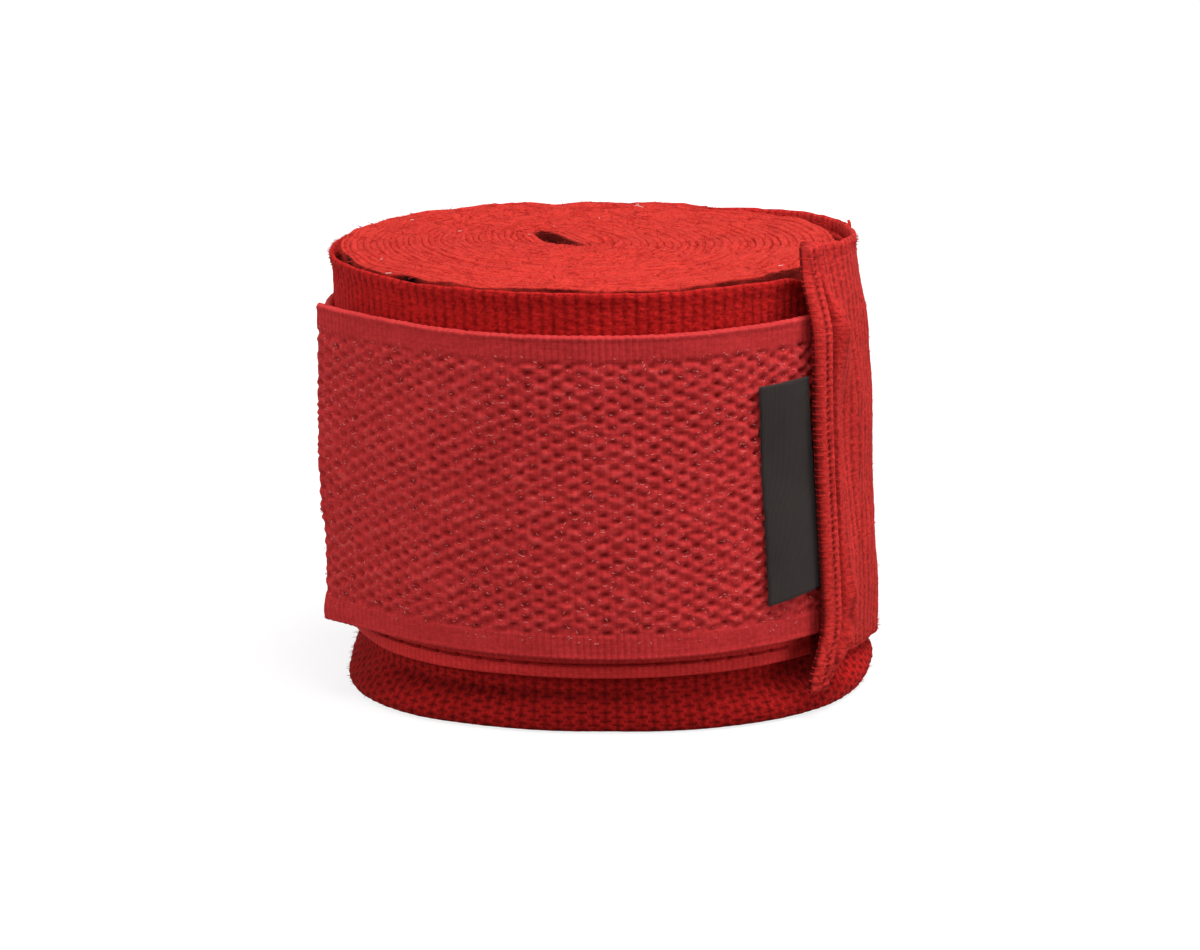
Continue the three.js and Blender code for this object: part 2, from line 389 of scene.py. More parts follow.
def turn_face(length, z):
    """Lift of the outer turn's outer face, with its ribs."""
    top_fade = 1 - 0.75 * ease(z, 48.4, 49.4)
    broken = 0.85 + 0.55 * ruffle(length / 1.3, z / 1.7, 26)
    face = TURN_FACE + RIB_HEIGHT * broken * (ribs(length) - 0.6) * top_fade
    face = face + foot(length, z) + right_bulge(length, z) + under_tail(length, z)
    face = face + 0.30 * ease(z, 47.6, 49.3)
    stagger = 0.5 * np.floor(rib_place(length) / RIB_PITCH)
    courses = 0.035 * np.sin(2 * math.pi * (z / COURSE_PITCH + stagger))
    face = face + courses * (bump(z, 1.2, 4.5) + bump(z, 48, 3.0))
    return face + 0.05 * ruffle(length / 0.9, z / 0.7, 22)


def turn_back(length, z):
    """Lift of the outer turn's inner face, which leaves the roll at the top."""
    stand = right_bulge(length, z) + 0.9 * foot(length, z) + under_tail(length, z)
    under_hem = bump(length, 196, 8)
    back = TURN_BACK + stand + 0.40 * ease(z, 46.5, 48.8) * (1 - under_hem)
    return back - 0.6 * under_hem * ease(z, 44, 48)


def turn_low(length):
    """Height of the outer turn's lower edge: lifted beside the tail, on the floor elsewhere."""
    return 0.15 + 0.10 * ruffle(np.asarray(length) / 5, 0.5, 23) + 4.05 * (1 - ease(length, 30, 52))


def turn_high(length):
    """Height of the outer turn's upper edge: raised beside the tail, with a dip behind the hem."""
    length = np.asarray(length)
    uneven = 0.10 * ruffle(length / 6, 0.2, 24) + 0.09 * ruffle(length / 1.4, 0.7, 25)
    high = TURN_TOP + uneven + 1.7 * (1 - ease(length, 32, 64)) + 0.5 * ease(length, 203, 215)
    return high - 1.0 * bump(length, 196, 6)


def outer_turn():
    """The outer turn, in close rows at its two edges, with painted shade at its foot below the tapes."""
    lengths = np.linspace(TAIL_JOIN, OUTER_REACH, 846)[:, None]
    share = np.concatenate([np.linspace(0, .11, 30), np.linspace(.13, .88, 38),
                            np.linspace(.895, 1, 30)])
    low, high = turn_low(lengths), turn_high(lengths)
    z = low + (high - low) * share
    middle = (turn_face(lengths, z) + turn_back(lengths, z)) / 2
    face = middle + (turn_face(lengths, z) - middle) * edge_round(z, low, high, 0.4)
    back_share = np.array([.993, .97, .9, .7, .5, .3, .17, .08, .04, .007])
    back_z = low + (high - low) * back_share
    piece = strip("outer_turn", lengths[:, 0], z, face, turn_back(lengths, back_z), back_z)
    # Painted shade: the foot below the tapes, at the left and the front, and the foot's crease are
    # darkened.
    shade = -0.32 * (1 - ease(z, 4, 13)) * ease(lengths, 92, 115) * (1 - ease(lengths, 188, 200))
    shade = shade - 0.35 * foot_crease(lengths, z)
    return shaded(piece, beside(shade, 0 * back_z))


# ---- the gathered tail and its hem ----------------------------------------------------------

def hem_sway(z):
    """The hem doesn't hang straight: it leans out to the left at the top and at the foot."""
    return line_through(z, (2.5, 4.8, 8, 11, 15, 21, 28, 34, 40, 44.5, 49, 51, 53),
                        (-2.3, -2.0, -.6, .3, .2, .0, -.2, -.3, -.1, .1, .1, .5, .9), 0.9)


def pleat_line(z):
    """Where the main pleat's ridge runs: it starts beside the hem's top and returns to its foot."""
    return line_through(z, (4, 7, 10, 12, 15, 22, 29, 34, 43, 48),
                        (2.2, 3.2, 5.3, 6.8, 8.9, 10, 11, 10.5, 7.4, 5.5))


def tail_length(place, z):
    """Length from the band's outer end of a place in the tail, as the hem sways."""
    return place + hem_sway(z) * (1 - ease(place, 4, 26))


def tail_mid(place, z):
    """Lift of the middle of the tail's cloth: hem, valley, folds, pleat and the bulge behind."""
    length = tail_length(place, z)
    mid = TAIL_MID * (1 - ease(place, 2.8, 9.5)) + (HEM_MID - TAIL_MID) * (1 - ease(place, 2.1, 3.0))
    mid = mid - 1.6 * bump(place, 3.1, 0.95) + 0.45 * bump(place, 5.2, 1.6) * ease(z, 5, 12)
    beyond = length - pleat_line(z)
    over = np.where(beyond < 0, ease(beyond, -6.0, 0), 1 - ease(beyond, 0, 1.8))
    under = np.where(beyond < 0, ease(beyond, -1.1, 0), 1 - ease(beyond, 0, 7.0))
    upper = ease(z, 10, 14)
    pleat = (1.9 * over * upper + 1.1 * under * (1 - upper)) * ease(z, 4, 7) * (1 - ease(z, 43, 49))
    mid = mid + pleat * ease(place, 3.4, 5.0)
    mid = mid - 0.3 * bump(beyond, 1.5, 0.9) * upper * (1 - ease(z, 40, 46))
    lean = 2.3 * (1 - ease(place, 2, 20)) * ease(z, 43, 54)
    crumple = 0.35 * ruffle(length / 3.5, z / 6, 31) * ease(place, 4, 8) * (1 - ease(place, 18, 27))
    return mid - lean + crumple + right_bulge(length, z)


def tail_half(place):
    return TAIL_HALF + (HEM_HALF - TAIL_HALF) * (1 - ease(place, 1.9, 2.8))


def tail_low(place):
    hem_foot = line_through(place, (0, 2.5, 4, 8, 17, 28.5), (3.2, 3.4, 3.8, 4.9, 4.6, 4.2), 0.5)
    return hem_foot + 0.1 * ruffle(np.asarray(place) / 1.6, 0.4, 32)


def tail_high(place):
    crest = line_through(place, (0, 3, 6, 10, 18, 28.5), (53.4, 53.5, 52.9, 52.2, 52.0, 51.6), 0.6)
    return crest + 0.12 * ruffle(np.asarray(place) / 1.5, 0.4, 33)


def tail_surface(place, z, outwards):
    """Points of the tail: place from the hem's edge, and outwards from -1 inside to 1 outside."""
    x, y = outer(tail_length(place, z), tail_mid(place, z) + tail_half(place) * outwards)
    return points(x, y, z)


def stitch_pits(place, z):
    """Small pits where the overlock's needle thread enters the hem."""
    row = np.abs(((z + 0.2) / EDGE_STITCH_PITCH + 0.5) % 1 - 0.5) * EDGE_STITCH_PITCH
    return np.exp(-((place - 1.22) / 0.19) ** 2 - (row / 0.19) ** 2)


def tail_end_round(place):
    """Share of the tail's thickness by place, rounded off at the hem's edge."""
    return np.maximum(edge_round(place, 0, 99, 0.85), 0.12)


def free_tail():
    """The free tail from the hem's edge to where it joins the outer turn."""
    hem_places = [0, .06, .16, .3, .48, .7, .85, .98, 1.1, 1.22, 1.34, 1.46, 1.6, 1.8, 2.0, 2.25,
                  2.5, 2.75]
    place = np.concatenate([hem_places, np.linspace(3.0, TAIL_JOIN, 105)])[:, None]
    low, high = tail_low(place), tail_high(place)
    share = np.concatenate([[0, .001, .003, .006], np.linspace(.01, .99, 236), [.994, .997, .999, 1]])
    z = low + (high - low) * share
    rounded = edge_round(z, low, high, 0.55) * tail_end_round(place)
    relief = RIB_HEIGHT * 0.9 * (ribs(tail_length(place, z)) - 0.6) * ease(place, 3.2, 6)
    relief = relief * (1 - 0.9 * ease(z, 44, 48))
    relief = relief + 0.04 * ruffle(place / 0.8, z / 0.7, 34) - 0.42 * stitch_pits(place, z)
    relief = relief + 0.05 * np.sin(2 * math.pi * z / EDGE_STITCH_PITCH) * bump(place, 1.9, 0.8)
    front = tail_mid(place, z) + (tail_half(place) + relief) * rounded
    back_share = np.linspace(.996, .004, 80)
    back_z = low + (high - low) * back_share
    back = tail_mid(place, back_z) - tail_half(place) * tail_end_round(place)
    heights = beside(z, back_z)
    length = tail_length(place, heights)
    x, y = outer(length, beside(front, back))
    uv = np.stack([rib_place(length), heights], axis=-1)
    piece = loft("free_tail", points(x, y, heights), uv)
    # Painted shade: the stitch pits, the valley beside the hem, the cloth beside the pleat's ridge and
    # the hem's side face by the tape are darkened.
    beyond = tail_length(place, z) - pleat_line(z)
    fold = bump(beyond, 1.3, 1.5) * ease(z, 12, 16) + bump(beyond, -0.9, 1.1) * (1 - ease(z, 9, 13))
    fold = fold * ease(place, 4, 5.5) * (1 - ease(z, 41, 46))
    shade = -0.95 * stitch_pits(place, z) - 0.75 * bump(place, 2.95, 0.6) * ease(z, 4, 7) - 0.8 * fold
    shade = shade - 0.6 * (1 - ease(place, 0, 0.1)) * (1 - ease(z, 38, 44))
    # Painted shade on the back near the hem's edge, where its side faces the tape.
    edge = -0.85 * (1 - ease(place, 0.3, 1.0)) + 0 * back
    return shaded(piece, beside(shade, edge))


def hem_rows():
    """Heights of the stitches down the hem."""
    return np.arange(3.9, 52.4, EDGE_STITCH_PITCH)


def overlock_threads():
    """One loop of thread to each stitch, from its pit round the hem's edge to the inner face."""
    rng = np.random.default_rng(41)
    z = ((hem_rows() + 0.2) / EDGE_STITCH_PITCH).round() * EDGE_STITCH_PITCH - 0.2
    z = z[:, None] + rng.normal(0, 0.03, (len(z), 1))
    place = np.array([1.2, 0.98, 0.65, 0.30, 0.08, 0.08, 0.3, 0.8])
    outwards = np.array([0.60, 0.90, 0.86, 0.68, 0.30, -0.30, -0.68, -0.90])
    rise = np.array([0, .06, .12, .16, .2, .2, .16, .1]) * rng.uniform(-0.4, 1.3, (len(z), 1))
    paths = tail_surface(place + 0 * z, z + rise, outwards + 0 * z)
    return tubes("overlock_threads", paths, 0.11, sides=6)


def seam_threads():
    """The seam that runs down the hem beside the pits."""
    z = hem_rows()[:, None] + np.array([0.05, 0.2, 0.5, 0.72])
    place = 1.24 + np.array([0, .04, .04, 0])
    outwards = np.array([0.50, 0.66, 0.66, 0.50])
    paths = tail_surface(place + 0 * z, z, outwards + 0 * z)
    return tubes("seam_threads", paths, 0.09, sides=5)


# ---- the closure's two tapes ----------------------------------------------------------------

HOOK_ROOT = FULL_TURN + HEM_OVERLAP
HOOK_FREE = HOOK_ROOT - along_band(HOOK_LENGTH, (HOOK_INNER + HOOK_OUTER) / 2)
LOOP_START = FULL_TURN + LOOP_UNDER_HEM
LOOP_END = FULL_TURN - LOOP_SETBACK - along_band(LOOP_LENGTH, (LOOP_INNER + LOOP_OUTER) / 2)


def stand_off(length, rise):
    """The tape's free end stands off the roll, more at its foot, where rise is 0, than at its top,
    where rise is 1."""
    lift = line_through(rise, (0, .02, .11, .2, .3, .38, .57, .76, 1), FREE_END_LIFTS, 0.02)
    return lift * np.clip(1 - (length - HOOK_FREE) / FREE_END_SPAN, 0, 1) ** 2


def tape_wave(length, rise):
    """The hook tape's slow waves, in and out."""
    return 0.22 * ruffle(length / 11, rise * 2.2, 60)


def pit_lattice(length, z):
    """Distance along and up to the nearest pit of the hook field's staggered rows, with the pit's
    column and row."""
    along = length + 0.16 * ruffle(length / 2.3, z / 2.1, 51)
    rise = z + 0.14 * ruffle(length / 2.2, z / 2.4, 52)
    column = np.round(along / COLUMN_PITCH)
    row = rise / ROW_PITCH + 0.5 * (column % 2)
    return along - column * COLUMN_PITCH, (row - np.round(row)) * ROW_PITCH, column, np.round(row)


def hook_relief(length, z, low, high):
    """The hook field's lumps and pits between two ribbed selvedges, and each point's painted shading."""
    dx, dz, column, row = pit_lattice(length, z)
    weave = np.cos(math.pi * length / COLUMN_PITCH) * np.cos(2 * math.pi * z / ROW_PITCH)
    size = 0.85 + 0.55 * ruffle(column * 0.77 + 0.5, row * 0.63 + 0.5, 53)
    wide = 0.40 + 0.14 * ruffle(column * 0.61 + 0.3, row * 0.83, 50)
    pits = size * np.exp(-(dx / wide) ** 2 - ((dz + 0.22 * np.abs(dx) - 0.05) / 0.19) ** 2)
    lumps = ruffle(length / 0.5, z / 0.42, 54)
    field = -0.36 * pits - 0.15 * weave + 0.14 * lumps
    selvedge = 0.075 * np.cos(4 * math.pi * length / COLUMN_PITCH)
    selvedge = selvedge + 0.03 * ruffle(length / 0.4, z / 0.5, 55)
    to_edge = np.minimum(z - low, high - z)
    inside = ease(to_edge, SELVEDGE - 0.35, SELVEDGE + 0.25)
    ditch = -0.16 * bump(to_edge, SELVEDGE + 0.15, 0.5)
    scallop = 0.6 + 0.4 * np.abs(np.sin(math.pi * length / 0.9))
    lip = 0.13 * scallop * bump(high - z, 0.22, 0.40) + 0.10 * bump(z - low, 0.22, 0.35)
    # Painted shade in the pits, along the field's edge and under the top lip; painted highlights on the
    # lip and on some lumps.
    seam = bump(to_edge, SELVEDGE + 0.1, 0.3) * (0.3 + 0.5 * pits)
    painted_groove_shade = 0.35 * bump(high - z, 0.72, 0.22) + seam
    lit = 0.13 * scallop * bump(high - z, 0.2, 0.42)
    lit = lit + 0.45 * np.clip(lumps - 0.15, 0, 1) * inside * (1 - pits)
    shade = lit - np.clip(0.85 * pits * inside + painted_groove_shade * 0.6, 0, 1)
    return field * inside + selvedge * (1 - inside) + lip + ditch, shade


def hook_tape_cloth():
    """The hook tape, from its ragged free end to its root under the hem."""
    lengths = np.linspace(HOOK_FREE, HOOK_ROOT, 312)[:, None]
    scallop = np.abs(np.sin(math.pi * lengths / 0.9))
    drift = 0.22 * ruffle(lengths / 14, 0.3, 56)
    low = HOOK_LOW + drift + 0.08 * scallop
    high = HOOK_HIGH + drift + 0.10 * scallop + 0.05 * ruffle(lengths / 0.8, 0.5, 57)
    share = np.concatenate([[0, .002, .005, .009], np.linspace(.0135, .9865, 186),
                            [.991, .995, .998, 1]])
    z = low + (high - low) * share
    slant = -0.6 * (1 - share) * (1 - ease(lengths, HOOK_FREE, HOOK_FREE + 9))
    ragged = 0.28 * ruffle(z / 0.75, 0.4, 58) + 0.2 * ruffle(z / 2.1, 0.8, 59)
    ragged = ragged * (lengths < HOOK_FREE + 0.15)
    along = lengths - slant - ragged
    wave = tape_wave(lengths, share) * ease(lengths, HOOK_FREE, HOOK_FREE + 6)
    middle = (HOOK_INNER + HOOK_OUTER) / 2 + stand_off(lengths, share) + wave
    ends = np.maximum(edge_round(lengths, HOOK_FREE, HOOK_ROOT + 9, 0.45), 0.3)
    half = (HOOK_OUTER - HOOK_INNER) / 2 * ends
    relief, shade = hook_relief(along, z, low, high)
    face = middle + (half + relief) * edge_round(z, low, high, 0.32)
    back_share = np.array([.996, .96, .8, .6, .4, .2, .04, .004])
    back_z = low + (high - low) * back_share
    back = HOOK_INNER + stand_off(lengths, back_share) + 0.05 + 0 * back_z
    heights = beside(z, back_z)
    reach = beside(along, np.broadcast_to(lengths, back.shape))
    x, y = outer(reach, beside(face, back))
    uv = np.stack([reach, heights - HOOK_LOW], axis=-1)
    piece = loft("hook_tape_cloth", points(x, y, heights), uv)
    return shaded(piece, beside(shade, 0 * back))


def hook_pits():
    """Places of the pits in the hook field."""
    first_column = math.ceil((HOOK_FREE + 1.2) / COLUMN_PITCH)
    columns = np.arange(first_column, (HOOK_ROOT - 2) / COLUMN_PITCH)
    first_row = math.ceil((HOOK_LOW + SELVEDGE + 0.6) / ROW_PITCH)
    rows = np.arange(first_row, (HOOK_HIGH - SELVEDGE - 0.2) / ROW_PITCH)
    column, row = [a.ravel() for a in np.meshgrid(columns, rows)]
    return column * COLUMN_PITCH, (row - 0.5 * (column % 2)) * ROW_PITCH


def up_the_tape(z):
    """Height on the hook tape as a share, 0 at its foot and 1 at its top."""
    return (z - HOOK_LOW) / (HOOK_HIGH - HOOK_LOW)


def nylon_glints():
    """Pale filaments of the hook tape, a painted glint: bows under some of its pits, and finer wisps all
    over.
    """
    rng = np.random.default_rng(61)
    length, z = hook_pits()
    bow_share = 0.40
    keep = rng.uniform(0, 1, len(length)) < bow_share
    length, z = length[keep], z[keep]
    span = rng.uniform(0.08, 0.24, (len(length), 1))
    share = np.linspace(-1, 1, 5)
    along = length[:, None] + span * share
    rise = z[:, None] - 0.30 - 0.10 * (1 - share ** 2) + rng.normal(0, 0.04, (len(length), 1))
    up = up_the_tape(rise)
    lift = HOOK_OUTER + stand_off(along, up) + 0.05 + 0.07 * (1 - share ** 2)
    x, y = outer(along, lift + tape_wave(along, up))
    bows = points(x, y, rise)
    count = 1500
    far = rng.uniform(HOOK_FREE + 0.5, HOOK_ROOT - 2.5, (count, 1))
    high = rng.uniform(HOOK_LOW + SELVEDGE * 0.6, HOOK_HIGH - SELVEDGE * 0.8, (count, 1))
    turn = rng.uniform(-1.2, 1.2, (count, 1))
    reach = rng.uniform(0.05, 0.20, (count, 1)) * share
    up = up_the_tape(high)
    lift = HOOK_OUTER + stand_off(far, up) - 0.02 + 0.12 * (1 - share ** 2)
    x, y = outer(far + reach * np.cos(turn), lift + tape_wave(far, up))
    wisps = points(x, y, high + reach * np.sin(turn))
    thick = np.concatenate([rng.uniform(0.02, 0.045, len(bows)), rng.uniform(0.015, 0.04, count)])
    return tubes("nylon_glints", np.concatenate([bows, wisps]), thick[:, None], sides=4)


def loop_tape_cloth():
    """The loop tape: a pit at each stitch of its two seams, which run along its selvedges."""
    lengths = np.linspace(LOOP_END, LOOP_START, 330)[:, None]
    low = LOOP_LOW + 0.12 * ruffle(lengths / 12, 0.2, 71)
    high = LOOP_HIGH + 0.12 * ruffle(lengths / 12, 0.8, 72)
    share = np.concatenate([[0, .003, .007, .012], np.linspace(.018, .1, 16), np.linspace(.12, .88, 40),
                            np.linspace(.9, .982, 12), [.988, .993, .997, 1]])
    z = low + (high - low) * share
    seam = np.minimum(np.abs(z - LOOP_LOW - SEAM_INSET - 0.2),
                      np.abs(z - LOOP_HIGH + SEAM_INSET + 0.2))
    hole = np.abs((lengths / STITCH_PITCH + 0.5) % 1 - 0.5) * STITCH_PITCH
    pits = 0.35 * np.exp(-(hole / 0.35) ** 2 - (seam / 0.28) ** 2) + 0.10 * np.exp(-(seam / 0.3) ** 2)
    inside = ease(np.minimum(z - low, high - z), SELVEDGE - 0.4, SELVEDGE + 0.3)
    relief = 0.05 * np.cos(2 * math.pi * lengths / 0.7) * (1 - inside)
    relief = relief + 0.12 * ruffle(lengths / 0.6, z / 0.6, 73) * inside
    middle = (LOOP_INNER + LOOP_OUTER) / 2
    half = (LOOP_OUTER - LOOP_INNER) / 2
    ends = np.maximum(edge_round(lengths, LOOP_END, LOOP_START, 0.4), 0.25)
    face = middle + (half * ends + relief - pits) * edge_round(z, low, high, 0.35)
    back_z = low + (high - low) * np.array([.995, .9, .6, .3, .1, .005])
    back = np.broadcast_to(middle - half * ends * 0.95, back_z.shape)
    return strip("loop_tape_cloth", lengths[:, 0], z, face, back, back_z)


def loop_pile():
    """The brushed loops of the tape's field, between its selvedges."""
    rng = np.random.default_rng(74)
    count = 12500
    along = rng.uniform(LOOP_END + 0.6, LOOP_START - 3, count)[:, None]
    z = rng.uniform(LOOP_LOW + SELVEDGE, LOOP_HIGH - SELVEDGE, count)[:, None]
    turn = rng.uniform(0, 2 * math.pi, (count, 1))
    share = np.array([-1, 0, 1.0])
    span = rng.uniform(0.22, 0.42, (count, 1))
    lift = LOOP_OUTER - 0.04 + rng.uniform(0.18, 0.38, (count, 1)) * (1 - share ** 2)
    x, y = outer(along + span * share * np.cos(turn), lift)
    return tubes("loop_pile", points(x, y, z + span * share * np.sin(turn)), 0.05, sides=3)


def stitch_row(name, z):
    """A row of lockstitches: each thread rises from its hole and dips into the next."""
    first = math.ceil((LOOP_END + SEAM_INSET) / STITCH_PITCH)
    last = math.floor((LOOP_START - SEAM_INSET) / STITCH_PITCH)
    start = np.arange(first, last)[:, None] * STITCH_PITCH
    along = start + np.linspace(0.12, STITCH_PITCH - 0.12, 6)
    lift = LOOP_OUTER + np.array([-0.22, -0.02, 0.06, 0.06, -0.02, -0.22])
    x, y = outer(along, lift + 0 * along)
    return tubes(name, points(x, y, z + 0 * along), 0.16, sides=6)


# ---- the tag --------------------------------------------------------------------------------

TAG_ROOT = FULL_TURN - 0.95
TAG_OUTER = HOOK_OUTER + 0.65


def plain_tag():
    """A bare woven label, folded in two, its two ends sewn in under the hem."""
    z = np.linspace(TAG_LOW, TAG_HIGH, 72)[:, None]
    rise = (z - TAG_LOW) / (TAG_HIGH - TAG_LOW)
    root = TAG_ROOT + 0.7 + 0.9 * bump(rise, 0.1, 0.8)
    free = TAG_ROOT - TAG_REACH + 0.3 + 0.35 * (1 - rise) + 0.05 * ruffle(z / 0.8, 0.2, 81)
    ripple = 0.16 * np.sin(rise * 7 + 0.8) + 0.12 * bump(rise, 0.42, 0.12)
    share = np.linspace(0, 1, 22)
    leaf = 0.14
    outer_leaf = root + (free - root) * share
    lift = TAG_OUTER - 0.12 + ripple * np.sin(share * math.pi * 0.7) + 0.0 * z
    back = outer_leaf[:, ::-1]
    fold = lift[:, -1:]
    around = [outer_leaf, free - 0.07, back,
              back[:, ::-1][:, 1:], free + 0.1 + 0 * z, outer_leaf[:, ::-1][:, 1:]]
    lifts = [lift + leaf / 2, fold - 0.04, lift[:, ::-1] - leaf * 1.7,
             lift[:, 1:] - leaf * 0.85, fold - 0.05, lift[:, ::-1][:, 1:] - leaf * 0.35]
    along = np.concatenate(around, axis=1)
    x, y = outer(along, np.concatenate(lifts, axis=1))
    reach = (along - free) / (root - free)
    slope = (1.0 * reach - 0.6) * (1 - rise) + 0.3 * reach * rise
    uv = np.stack(np.broadcast_arrays(along, z), axis=-1)
    return loft("plain_tag", points(x, y, z + slope), uv)


# ---- what is wound up in the core -----------------------------------------------------------

def thumb_loop_cloth():
    """The thumb loop, folded in three inside the slit."""
    run = np.linspace(-3.9, 3.9, 26)
    bend = np.linspace(-math.pi / 2, math.pi / 2, 7)[1:-1]
    lane = 0.44
    along = np.concatenate([run, 3.9 + lane / 2 * np.cos(bend), run[::-1],
                            -3.9 - lane / 2 * np.cos(bend), run])
    across = np.concatenate([0 * run - lane, -lane / 2 + lane / 2 * np.sin(bend), 0 * run,
                             lane / 2 + lane / 2 * np.sin(bend), 0 * run + lane])
    toward = np.stack([np.gradient(along), np.gradient(across)], axis=1)
    toward /= np.linalg.norm(toward, axis=1, keepdims=True)
    half = 0.14
    z = np.linspace(19, 31, 14)
    face = half + 0.012 * ribs(np.arange(len(along)) * 0.4)[:, None] + 0 * z
    lift = beside(face, -face)
    heights = np.concatenate([z, z[::-1]])
    a = along[:, None] - toward[:, 1:] * lift
    c = across[:, None] + toward[:, :1] * lift
    x, y = in_plan(a, c)
    uv = np.stack(np.broadcast_arrays(np.arange(len(along))[:, None] * 0.39, heights), axis=-1)
    return loft("thumb_loop_cloth", points(x, y, heights + 0 * x), uv)


def core_threads(name, turns, low, high, pitch):
    """Threads whipped over the band's inner end, one above the other."""
    z = np.arange(low, high, pitch)[:, None]
    step = np.array([0, .012, .02, .012, 0])
    lift = np.array([.40, .36, 0, -.36, -.40])
    x, y = winding(turns - step + 0 * z, lift + 0 * z)
    return tubes(name, points(x, y, z + np.array([0, .08, .15, .22, .3])), 0.10, sides=5)


# ---- fuzz, lint and loose ends --------------------------------------------------------------

def directions(rng, count, upwards):
    """Random unit leads with a share of each pointing up."""
    lead = rng.normal(0, 1, (count, 3)) * np.array([1, 1, 0.25]) + np.array([0, 0, upwards])
    return lead / np.linalg.norm(lead, axis=1, keepdims=True)


def top_fuzz():
    """Short fibres on the upper edges of the wound turns."""
    rng = np.random.default_rng(91)
    count = 13500
    reach = rng.uniform(0, reach_at(LAST_WOUND_TURN - 0.15), count)
    turns = turns_at(reach)
    spread = rng.uniform(-0.45, 0.45, count)
    x, y = winding(turns, 0.0, spread)
    z = top_of_roll(turns, reach, *winding(turns)) - 0.12
    return fibres("top_fuzz", points(x, y, z), directions(rng, count, 0.12),
                  rng.uniform(0.35, 1.0, count), 0.042, 0.5, 92)


def front_fuzz():
    """Short fibres on the outer turn, most of them along its upper and lower edges."""
    rng = np.random.default_rng(93)
    count = 5200
    length = rng.uniform(TAIL_JOIN + 40, FULL_TURN * 1.1, count)
    upper = rng.uniform(0, 1, count) < 0.55
    near_top = 49.6 - 3.0 * rng.uniform(0, 1, count) ** 2
    near_foot = 0.4 + 5.6 * rng.uniform(0, 1, count) ** 1.3
    z = np.where(upper, near_top, near_foot)
    anywhere = rng.uniform(0, 1, count) < 0.25
    z = np.where(anywhere & (length < 90), rng.uniform(1, 49, count), z)
    z = np.maximum(z, turn_low(length) + 0.3)
    lift = turn_face(length, z) - 0.05
    x, y = outer(length, lift)
    out_x, out_y = outer(length, lift + 1)
    lead = directions(rng, count, 0.0) * 0.75
    lead = lead + np.stack([out_x - x, out_y - y, 0.25 + 0 * x], axis=1) * 0.35
    return fibres("front_fuzz", points(x, y, z), lead, rng.uniform(0.18, 0.45, count), 0.032, 0.4, 94)


def tail_fuzz():
    """Short fibres on the free tail, some of them close to its two edges."""
    rng = np.random.default_rng(95)
    count = 3200
    place = rng.uniform(0.3, TAIL_JOIN - 0.2, count)
    share = rng.uniform(0, 1, count)
    near_edge = np.where(share < 0.5, share * 0.06, 1 - (1 - share) * 0.06)
    share = np.where(rng.uniform(0, 1, count) < 0.3, near_edge, share)
    share = np.clip(share, 0.012, 0.985)
    z = tail_low(place) + (tail_high(place) - tail_low(place)) * share
    root = tail_surface(place, z, 0.95)
    lead = directions(rng, count, 0.0) * 0.75 + (tail_surface(place, z, 2.0) - root) * 0.5
    return fibres("tail_fuzz", root, lead, rng.uniform(0.15, 0.42, count), 0.030, 0.4, 96)


def lint():
    """A curl of pale lint and a few specks on the roll's top."""
    rng = np.random.default_rng(97)
    turn = np.linspace(0, 5.2, 14)
    curl_x = 5.2 + 0.45 * np.cos(turn) + 0.16 * turn
    curl_y = 22.5 + 0.8 * np.sin(turn)
    curl = points(curl_x, curl_y, 50.9 + 0.12 * np.sin(turn * 2))[None]
    count = 9
    spots = rng.uniform(-1, 1, (count, 2)) * np.array([24, 20]) + np.array([0, -4])
    speck = spots[:, None] + np.linspace(-0.14, 0.14, 14)[:, None] * rng.normal(0, 1, (count, 1, 2))
    specks = points(speck[..., 0], speck[..., 1], 50.62)
    return tubes("lint", np.concatenate([curl, specks]), 0.045, sides=4)


def loose_end(name, root, tip, bow, thickness):
    """One loose thread end from a root to a tip, bowed in between."""
    share = np.linspace(0, 1, 7)[:, None]
    root, tip, bow = np.array(root), np.array(tip), np.array(bow)
    path = root + (tip - root) * share + bow * (4 * share * (1 - share))
    return tubes(name, points(*path.T)[None], thickness * (1 - 0.35 * share[:, 0]), sides=6)


# ---- materials ------------------------------------------------------------------------------

def add(tree, kind, inputs=(), **settings):
    """A node of a tree, with its settings, and its inputs given as values or as sockets."""
    made = tree.nodes.new(kind)
    for key, value in settings.items():
        setattr(made, key, value)
    for key, value in dict(inputs).items():
        if isinstance(value, bpy.types.NodeSocket):
            tree.links.new(value, made.inputs[key])
        else:
            made.inputs[key].default_value = value
    return made


def calc(tree, operation, first, second=0.0):
    made = add(tree, "ShaderNodeMath", {0: first, 1: second}, operation=operation)
    return made.outputs[0]


def times(tree, first, second):
    return calc(tree, "MULTIPLY", first, second)


def plus(tree, first, second):
    return calc(tree, "ADD", first, second)


def minus(tree, first, second):
    return calc(tree, "SUBTRACT", first, second)


def left(tree, value):
    """What is left of 1 when a value is taken from it."""
    return minus(tree, 1.0, value)


def size_of(tree, value):
    """A value without its sign."""
    return calc(tree, "ABSOLUTE", value)


def xyz(tree, vector):
    return add(tree, "ShaderNodeSeparateXYZ", {0: vector}).outputs


def group(name, vectors, numbers, results):
    """A group of nodes with vectors and numbers as inputs and numbers as outputs."""
    tree = bpy.data.node_groups.new(name, "ShaderNodeTree")
    for label in vectors:
        tree.interface.new_socket(label, in_out="INPUT", socket_type="NodeSocketVector")
    for label in numbers:
        tree.interface.new_socket(label, in_out="INPUT", socket_type="NodeSocketFloat")
    for label in results:
        tree.interface.new_socket(label, in_out="OUTPUT", socket_type="NodeSocketFloat")
    return tree, tree.nodes.new("NodeGroupInput").outputs, tree.nodes.new("NodeGroupOutput").inputs


def noise(tree, vector, scale, detail=3.0, roughness=0.55):
    made = add(tree, "ShaderNodeTexNoise",
               {"Vector": vector, "Scale": scale, "Detail": detail, "Roughness": roughness})
    return made.outputs["Fac"]


def stretch(tree, value, low, high):
    """A value spread from low..high to 0..1, clamped."""
    made = add(tree, "ShaderNodeMapRange", {"Value": value, "From Min": low, "From Max": high})
    return made.outputs["Result"]


